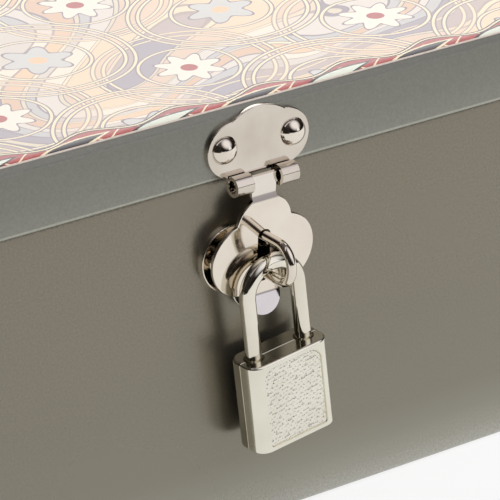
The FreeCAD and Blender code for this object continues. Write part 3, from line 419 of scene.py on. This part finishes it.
# Rings of the print: two crossing sets of double gold rings with a small flower in each
RING_PITCH = 46.0
RING_RADII = (20.5, 18.3, 11.0)
RING_HALF_LINE = 0.3
RING_HALF_OUTLINE = 0.62
RING_TINT = 0.28
FLOWER_RADIUS = 6.4
FLOWER_LOBE = 1.5
FLOWER_HEART = 1.9
RING_SETS = [  # share of the pitch that the set is moved by, petals, tint of its ring, petal and heart
    (0.0, 8, INK_MAUVE, INK_CREAM, INK_RED),
    (0.5, 6, INK_PEACH, INK_STONE, INK_APRICOT),
]
ring_cell = [RING_PITCH / 2] * 3
ring_cell_back = [-RING_PITCH / 2] * 3
for moved, petals, tint, petal_ink, heart_ink in RING_SETS:
    step = RING_PITCH * moved
    cell = add(tree, "ShaderNodeVectorMath", {0: flat, 1: (step, step, 0)}, operation="ADD")
    cell = add(tree, "ShaderNodeVectorMath", {0: cell, 1: ring_cell, 2: ring_cell_back}, operation="WRAP")
    out = add(tree, "ShaderNodeVectorMath", {0: cell}, operation="LENGTH").outputs["Value"]
    parts = add(tree, "ShaderNodeSeparateXYZ", {0: cell})
    lobes = add(tree, "ShaderNodeMath", {0: parts.outputs["Y"], 1: parts.outputs["X"]}, operation="ARCTAN2")
    lobes = add(tree, "ShaderNodeMath", {0: lobes, 1: petals}, operation="MULTIPLY")
    lobes = add(tree, "ShaderNodeMath", {0: lobes}, operation="COSINE")
    within = add(tree, "ShaderNodeMath", {0: out, 1: RING_RADII[0]}, operation="LESS_THAN")
    within = add(tree, "ShaderNodeMath", {0: within, 1: RING_TINT}, operation="MULTIPLY")
    colour = add(tree, "ShaderNodeMix", {0: within, 6: colour, 7: tint}, data_type="RGBA").outputs[2]
    for radius in RING_RADII:
        for half_line, ink in ((RING_HALF_OUTLINE, INK_OUTLINE), (RING_HALF_LINE, INK_GOLD)):
            line = add(tree, "ShaderNodeMath", {0: out, 1: radius, 2: half_line}, operation="COMPARE")
            colour = add(tree, "ShaderNodeMix", {0: line, 6: colour, 7: ink}, data_type="RGBA").outputs[2]
    rim = add(
        tree, "ShaderNodeMath", {0: lobes, 1: FLOWER_LOBE, 2: FLOWER_RADIUS}, operation="MULTIPLY_ADD"
    )
    petal = add(tree, "ShaderNodeMath", {0: out, 1: rim}, operation="LESS_THAN")
    petal_line = add(tree, "ShaderNodeMath", {0: out, 1: rim, 2: RING_HALF_LINE}, operation="COMPARE")
    heart = add(tree, "ShaderNodeMath", {0: out, 1: FLOWER_HEART}, operation="LESS_THAN")
    for shape, ink in ((petal, petal_ink), (petal_line, INK_OUTLINE), (heart, heart_ink)):
        colour = add(tree, "ShaderNodeMix", {0: shape, 6: colour, 7: ink}, data_type="RGBA").outputs[2]

# Border of the print: a red band with a wavy edge, a gold scroll and leaves, dark and pale by turns
BORDER = 4.6
BORDER_WAVE = 1.6
BORDER_REPEAT = 21.0
BORDER_MOTTLE = 1.4
BORDER_LINES = ((0.62, INK_CHARCOAL), (0.24, INK_GOLD))
SCROLL_REPEAT = 10.5
SCROLL_MIDDLE = 2.3
SCROLL_WAVE = 1.4
SCROLL_HALF_LINE = 0.2
LEAF_MIDDLE = 1.7
LEAF_RISE = 1.5
LEAF_HALF_WIDTH = 1.5
LEAF_HALF_LENGTH = 9.2
LEAF_OUTLINE = 0.25
wave = add(tree, "ShaderNodeMath", {0: along, 1: 2 * math.pi / BORDER_REPEAT}, operation="MULTIPLY")
wave = add(tree, "ShaderNodeMath", {0: wave}, operation="SINE")
edge = add(tree, "ShaderNodeMath", {0: wave, 1: BORDER_WAVE, 2: BORDER}, operation="MULTIPLY_ADD")
in_border = add(tree, "ShaderNodeMath", {0: from_edge, 1: edge}, operation="LESS_THAN")
mottle = add(tree, "ShaderNodeTexNoise", {"Vector": millimetres, "Scale": 1 / BORDER_MOTTLE, "Detail": 3.0})
red = add(tree, "ShaderNodeMix", {0: mottle, 6: linear("#963A3A"), 7: linear("#C05A54")}, data_type="RGBA")
red = red.outputs[2]
colour = add(tree, "ShaderNodeMix", {0: in_border, 6: colour, 7: red}, data_type="RGBA").outputs[2]
scroll = add(tree, "ShaderNodeMath", {0: along, 1: 2 * math.pi / SCROLL_REPEAT}, operation="MULTIPLY")
scroll = add(tree, "ShaderNodeMath", {0: scroll}, operation="SINE")
scroll = add(
    tree, "ShaderNodeMath", {0: scroll, 1: SCROLL_WAVE, 2: SCROLL_MIDDLE}, operation="MULTIPLY_ADD"
)
scroll = add(tree, "ShaderNodeMath", {0: from_edge, 1: scroll, 2: SCROLL_HALF_LINE}, operation="COMPARE")
colour = add(tree, "ShaderNodeMix", {0: scroll, 6: colour, 7: INK_GOLD}, data_type="RGBA").outputs[2]
for half_line, ink in BORDER_LINES:
    line = add(tree, "ShaderNodeMath", {0: from_edge, 1: edge, 2: half_line}, operation="COMPARE")
    colour = add(tree, "ShaderNodeMix", {0: line, 6: colour, 7: ink}, data_type="RGBA").outputs[2]
half_repeat = BORDER_REPEAT / 2
leaf_run = add(tree, "ShaderNodeMath", {0: along, 1: half_repeat, 2: -half_repeat}, operation="WRAP")
leaf_run = add(tree, "ShaderNodeMath", {0: leaf_run, 1: LEAF_HALF_LENGTH}, operation="DIVIDE")
leaf_line = add(
    tree, "ShaderNodeMath", {0: leaf_run, 1: LEAF_RISE, 2: LEAF_MIDDLE}, operation="MULTIPLY_ADD"
)
leaf_aside = add(tree, "ShaderNodeMath", {0: from_edge, 1: leaf_line}, operation="SUBTRACT")
leaf_aside = add(tree, "ShaderNodeMath", {0: leaf_aside}, operation="ABSOLUTE")
leaf_half = add(tree, "ShaderNodeMath", {0: leaf_run, 1: leaf_run}, operation="MULTIPLY")
leaf_half = add(
    tree, "ShaderNodeMath", {0: leaf_half, 1: -LEAF_HALF_WIDTH, 2: LEAF_HALF_WIDTH},
    operation="MULTIPLY_ADD",
)
in_leaf = add(tree, "ShaderNodeMath", {0: leaf_aside, 1: leaf_half}, operation="LESS_THAN")
turns = add(tree, "ShaderNodeMath", {0: along, 1: BORDER_REPEAT, 2: -BORDER_REPEAT}, operation="WRAP")
turns = add(tree, "ShaderNodeMath", {0: turns}, operation="ABSOLUTE")
dark_turn = add(tree, "ShaderNodeMath", {0: turns, 1: half_repeat}, operation="LESS_THAN")
leaf_ink = add(tree, "ShaderNodeMix", {0: dark_turn, 6: INK_PALE_LEAF, 7: INK_CHARCOAL}, data_type="RGBA")
leaf_edge = add(tree, "ShaderNodeMath", {0: leaf_aside, 1: leaf_half, 2: LEAF_OUTLINE}, operation="COMPARE")
leaf_edge_ink = add(tree, "ShaderNodeMix", {0: dark_turn, 6: INK_CHARCOAL, 7: INK_GOLD}, data_type="RGBA")
for shape, ink in ((in_leaf, leaf_ink.outputs[2]), (leaf_edge, leaf_edge_ink.outputs[2])):
    colour = add(tree, "ShaderNodeMix", {0: shape, 6: colour, 7: ink}, data_type="RGBA").outputs[2]

# Where the lid is printed, where it is lacquered and where it is bare
depth = add(tree, "ShaderNodeMath", {0: lid_high.z / MM, 1: spot.outputs["Z"]}, operation="SUBTRACT")
printed = add(tree, "ShaderNodeMath", {0: depth, 1: PRINT_TURN}, operation="LESS_THAN")
varnished = add(tree, "ShaderNodeMath", {0: depth, 1: VARNISH_AND_HIGHLIGHT_TURN}, operation="LESS_THAN")
under_lid = Vector((0, 0, lid_low.z - (lid_high.z - lid_low.z)))  # what looks away from it is outside
outward = add(
    tree, "ShaderNodeVectorMath", {0: where.outputs["Object"], 1: under_lid}, operation="SUBTRACT"
)
facing = add(
    tree, "ShaderNodeVectorMath", {0: outward, 1: where.outputs["Normal"]}, operation="DOT_PRODUCT"
)
outside = add(tree, "ShaderNodeMath", {0: facing.outputs["Value"], 1: 0.0}, operation="GREATER_THAN")
printed = add(tree, "ShaderNodeMath", {0: printed, 1: outside}, operation="MULTIPLY")
varnished = add(tree, "ShaderNodeMath", {0: varnished, 1: outside}, operation="MULTIPLY")
flake = add(
    tree, "ShaderNodeTexNoise", {"Vector": where.outputs["Object"], "Scale": 1 / FLAKE, "Detail": 2.0}
)
flake = add(
    tree, "ShaderNodeMapRange", {0: flake, 1: NOISE_LOW, 2: NOISE_HIGH, 3: FLAKE_DIM, 4: FLAKE_BRIGHT}
)
skirt_depth = SKIRT_STEPS[-1][0]
way_down = add(tree, "ShaderNodeMath", {0: depth, 1: skirt_depth}, operation="DIVIDE")
# Painted highlights: a pale line at the fold and another along the hem, from the skirt's steps by depth
skirt = add(
    tree, "ShaderNodeValToRGB", {0: way_down},
    stops=[(place / skirt_depth, linear(tint)) for place, tint in SKIRT_STEPS],
)
skirt = add(tree, "ShaderNodeVectorMath", {0: skirt, 3: flake}, operation="SCALE")
lacquered = add(tree, "ShaderNodeMix", {0: outside, 6: BARE_TIN, 7: skirt}, data_type="RGBA")
coat = add(tree, "ShaderNodeMix", {0: printed, 6: lacquered.outputs[2], 7: colour}, data_type="RGBA")
tree.links.new(coat.outputs[2], shader.inputs["Base Color"])
metal = add(tree, "ShaderNodeMapRange", {0: outside, 3: TIN_METALLIC, 4: LACQUER_METALLIC})
metal = add(tree, "ShaderNodeMix", {0: varnished, 2: metal, 3: 0.0})
tree.links.new(metal.outputs[0], shader.inputs["Metallic"])
gloss = add(tree, "ShaderNodeMapRange", {0: outside, 3: SKIRT_ROUGHNESS + TIN_DULLER, 4: SKIRT_ROUGHNESS})
gloss = add(tree, "ShaderNodeMix", {0: varnished, 2: gloss, 3: VARNISH_ROUGHNESS})
tree.links.new(gloss.outputs[0], shader.inputs["Roughness"])
peel = add(
    tree, "ShaderNodeTexNoise", {"Vector": where.outputs["Object"], "Scale": 1 / ORANGE_PEEL, "Detail": 1.0}
)
bump = add(
    tree, "ShaderNodeBump", {"Strength": LID_PEEL_STRENGTH, "Distance": PEEL_HEIGHT, "Height": peel}
)
tree.links.new(bump.outputs[0], shader.inputs["Normal"])
dress(lid_paint, "lid")


# Hasp, flap, staple, hinges and their rivets: pressed steel, barrel plated with bright nickel.
# A warm mirror that is a little clouded by handling, with fine scratches that catch the light.
CLOUDING = 9 * MM
SCRATCH = 0.35 * MM  # wider than real ones, so that they show
SCRATCH_RUN = 9.0  # times as long as wide
SCRATCH_DEPTH = 0.02 * MM
SCRATCH_STRENGTH = 0.02


def plated(name, pale, deep, sharpest, dullest, levels=()):
    """Nickel plate between two tones, as dull as it is dark, and with painted shade by levels of height from
    the lowest up.
    """
    made, tree, shader, where = new_material(name)
    cloud = add(
        tree, "ShaderNodeTexNoise", {"Vector": where.outputs["Object"], "Scale": 1 / CLOUDING, "Detail": 3.0}
    )
    spread = add(tree, "ShaderNodeMapRange", {0: cloud, 1: NOISE_LOW, 2: NOISE_HIGH})
    tone = add(tree, "ShaderNodeMix", {0: spread, 6: linear(pale), 7: linear(deep)}, data_type="RGBA")
    if levels:
        low, high = levels[0][0], levels[-1][0]
        height = add(tree, "ShaderNodeSeparateXYZ", {0: where.outputs["Object"]})
        height = add(tree, "ShaderNodeMapRange", {0: height.outputs["Z"], 1: low * MM, 2: high * MM})
        shade = add(
            tree, "ShaderNodeValToRGB", {0: height},
            stops=[((place - low) / (high - low), linear(colour)) for place, colour in levels],
        )
        tone = add(
            tree, "ShaderNodeMix", {0: 1.0, 6: tone.outputs[2], 7: shade},
            data_type="RGBA", blend_type="MULTIPLY",
        )
    tree.links.new(tone.outputs[2], shader.inputs["Base Color"])
    shader.inputs["Metallic"].default_value = 1.0
    polish = add(
        tree, "ShaderNodeMapRange", {0: cloud, 1: NOISE_LOW, 2: NOISE_HIGH, 3: sharpest, 4: dullest}
    )
    tree.links.new(polish.outputs[0], shader.inputs["Roughness"])
    drawn_out = add(
        tree, "ShaderNodeMapping", {"Vector": where.outputs["Object"], "Scale": (1.0, 1.0, 1 / SCRATCH_RUN)}
    )
    scratches = add(tree, "ShaderNodeTexNoise", {"Vector": drawn_out, "Scale": 1 / SCRATCH, "Detail": 2.0})
    bump = add(
        tree, "ShaderNodeBump",
        {"Strength": SCRATCH_STRENGTH, "Distance": SCRATCH_DEPTH, "Height": scratches},
    )
    tree.links.new(bump.outputs[0], shader.inputs["Normal"])
    return made


nickel = plated("bright_nickel_plate_on_steel", "#E4DCCF", "#D8CFC1", 0.06, 0.12)
dress(nickel, *[name for name in frame["nodes"] if name.startswith(("hasp", "staple", "hinge"))])
# Painted shade on the flap by height: the joggle is painted darker, a painted dark line lies along the tab's
# fold, and the tab is painted a little greyer.
FLAP_SHADE_LEVELS = [  # height in millimetres and how much of the light comes back there
    (48.0, "#D9D8DC"), (52.55, "#D9D8DC"), (52.7, "#A09C9C"), (52.95, "#A09C9C"), (53.1, "#EFEAE2"),
    (73.7, "#EFEAE2"), (73.95, "#999592"), (74.85, "#A19D9B"), (75.1, "#EDEAE6"), (80.0, "#EDEAE6"),
]
flap_nickel = plated("pressed_nickel_plate_on_steel", "#F5F1EC", "#ECE7E0", 0.06, 0.12, FLAP_SHADE_LEVELS)
dress(flap_nickel, "hasp_flap")
# The hasp plate is the most handled of them and has gone duller.
hasp_nickel = plated("clouded_nickel_plate_on_steel", "#D6CDC2", "#C5BCAF", 0.08, 0.15)
dress(hasp_nickel, "hasp_plate")


# Padlock case: two zinc castings, ground, polished and nickel plated.
# The polish is softer than on the pressed plates, and the front is ground flat round its panel.
case_nickel = plated("polished_nickel_plate_on_zinc", "#E4E1D3", "#DDD9CA", 0.08, 0.14)
dress(case_nickel, "padlock_front_case")
# The back half is only tumbled before it is plated, so it is duller; its darker tone is partly painted
# shade, for the dark box wall that it mirrors.
tumbled_shaded_nickel = plated("tumbled_nickel_plate_on_zinc_with_painted_shade", "#B9B4A5", "#A8A293", 0.14, 0.24)
dress(tumbled_shaded_nickel, "padlock_back_case")

# Grained panel: cast in with the front shell, a pebbled skin that fills the sunk field.
# The pebbles are about a millimetre apart and stand a sixth of one high. Sizes are in millimetres,
# and levels and depths are measured from the middle of the shackle's bow in the lock's own directions.
PANEL_HALF_WIDTH = 7.3
PANEL_TOP = -20.55
PANEL_FOOT = -38.45
PANEL_FLOOR = -4.15
PANEL_TOP_RADIUS = 2.8
PANEL_FOOT_RADIUS = 0.7
PEBBLE = 0.95  # pitch of the rows' pebbles
PEBBLE_TURN = math.radians(7)  # of the rows against the case
PEBBLE_JITTER = 0.48  # share of the pitch
PEBBLE_SPREAD = 0.6  # radius of a pebble as a share of the pitch
PEBBLE_RISE = 0.17
PEBBLE_STEP = 0.075  # between the points of the mesh
PEBBLE_SINK = 0.05  # how far the skin's outline lies under the floor, and over what width it comes up
PEBBLE_EDGE = 0.35


def inside_panel(x, z):
    """How far a point lies inside the panel's rounded outline, in millimetres."""
    radius = PANEL_TOP_RADIUS if z > (PANEL_TOP + PANEL_FOOT) / 2 else PANEL_FOOT_RADIUS
    over_x = abs(x) - (PANEL_HALF_WIDTH - radius)
    over_z = max(z - (PANEL_TOP - radius), (PANEL_FOOT + radius) - z)
    if over_x > 0 and over_z > 0:
        return radius - math.hypot(over_x, over_z)
    return radius - max(over_x, over_z)


def pebble_height(x, z):
    """Height of the pebbled skin over the panel's floor; it dips under the floor at the outline."""
    x_turned = x * math.cos(PEBBLE_TURN) + z * math.sin(PEBBLE_TURN)
    z_turned = z * math.cos(PEBBLE_TURN) - x * math.sin(PEBBLE_TURN)
    row_pitch = PEBBLE * math.sqrt(3) / 2
    row_near = round(z_turned / row_pitch)
    near = PEBBLE
    for row in (row_near - 1, row_near, row_near + 1):
        offset = row % 2 / 2
        column_near = round(x_turned / PEBBLE - offset)
        for column in (column_near - 1, column_near, column_near + 1):
            jitter = noise.cell_vector(Vector((column + 0.5, row + 0.5, 0.5))) * PEBBLE_JITTER
            centre_x = (column + offset + jitter.x - PEBBLE_JITTER / 2) * PEBBLE
            centre_z = row * row_pitch + (jitter.y - PEBBLE_JITTER / 2) * PEBBLE
            near = min(near, math.hypot(x_turned - centre_x, z_turned - centre_z))
    rise = PEBBLE_RISE * max(0.0, 1 - (near / (PEBBLE_SPREAD * PEBBLE)) ** 2)
    edge_share = min(1.0, max(0.0, inside_panel(x, z) / PEBBLE_EDGE))
    return (rise + PEBBLE_SINK) * edge_share - PEBBLE_SINK


joints = {joint["name"]: joint for joint in frame["joints"]}
bow = Vector(joints["padlock_swing"]["pos_m"])
lock_right = -Vector(joints["bolt_slide"]["axis"])
lock_up = -Vector(joints["case_release"]["axis"])
lock_back = lock_up.cross(lock_right)
columns = round(2 * PANEL_HALF_WIDTH / PEBBLE_STEP) + 1
rows = round((PANEL_TOP - PANEL_FOOT) / PEBBLE_STEP) + 1
places = {}
panel_points = []
for row in range(rows):
    for column in range(columns):
        x = -PANEL_HALF_WIDTH + column * PEBBLE_STEP
        z = PANEL_FOOT + row * PEBBLE_STEP
        if inside_panel(x, z) < -PEBBLE_STEP:
            continue
        y = PANEL_FLOOR - pebble_height(x, z)
        places[row, column] = len(panel_points)
        panel_points.append(bow + (lock_right * x + lock_back * y + lock_up * z) * MM)
panel_faces = []
for row, column in places:
    corners = [(row, column), (row, column + 1), (row + 1, column + 1), (row + 1, column)]
    if all(corner in places for corner in corners):
        panel_faces.append([places[corner] for corner in corners])
panel_nickel = plated("cast_nickel_plate_on_zinc", "#E9E6DA", "#E1DDCF", 0.22, 0.28)
panel = new_object("padlock_grained_panel", panel_points, panel_faces, panel_nickel)
panel.data.shade_smooth()
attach(panel, "case")


# Shackle: steel bar bent cold, polished along its length and nickel plated.
# It is the brightest piece of the lock, because it was polished before it was bent.
shackle_nickel = plated("polished_nickel_plate_on_bar", "#E3DFD1", "#D8D2C3", 0.05, 0.09)
dress(shackle_nickel, "padlock_shackle")


# Key plug: turned from brass rod, with the keyway broached in its foot.
# Yellow, with a fine mottle of tool marks that is browner where it has been handled.
TOOL_MARK = 0.3 * MM  # coarser than real ones, so that they show
BRASS_ROUGHNESS = 0.28
brass, tree, shader, where = new_material("turned_brass")
tool_marks = add(
    tree, "ShaderNodeTexNoise", {"Vector": where.outputs["Object"], "Scale": 1 / TOOL_MARK, "Detail": 2.0}
)
tone = add(
    tree, "ShaderNodeMix", {0: tool_marks, 6: linear("#C9A961"), 7: linear("#B08F4C")}, data_type="RGBA"
)
tree.links.new(tone.outputs[2], shader.inputs["Base Color"])
shader.inputs["Metallic"].default_value = 1.0
shader.inputs["Roughness"].default_value = BRASS_ROUGHNESS
dress(brass, "padlock_key_plug")


# Bolt, cross pins and spring: stamped and drawn steel, left bare inside the case.
# Grey, with the short grain of the strip that they come from.
STRIP_GRAIN = 0.2 * MM  # coarser than the real grain, so that it shows
STEEL_ROUGHNESS = 0.35
steel, tree, shader, where = new_material("stamped_bare_steel")
grain = add(
    tree, "ShaderNodeTexNoise", {"Vector": where.outputs["Object"], "Scale": 1 / STRIP_GRAIN, "Detail": 2.0}
)
tone = add(tree, "ShaderNodeMix", {0: grain, 6: linear("#9A9A9B"), 7: linear("#838385")}, data_type="RGBA")
tree.links.new(tone.outputs[2], shader.inputs["Base Color"])
shader.inputs["Metallic"].default_value = 1.0
shader.inputs["Roughness"].default_value = STEEL_ROUGHNESS
dress(steel, "padlock_bolt", "padlock_case_pins", "padlock_shackle_spring")
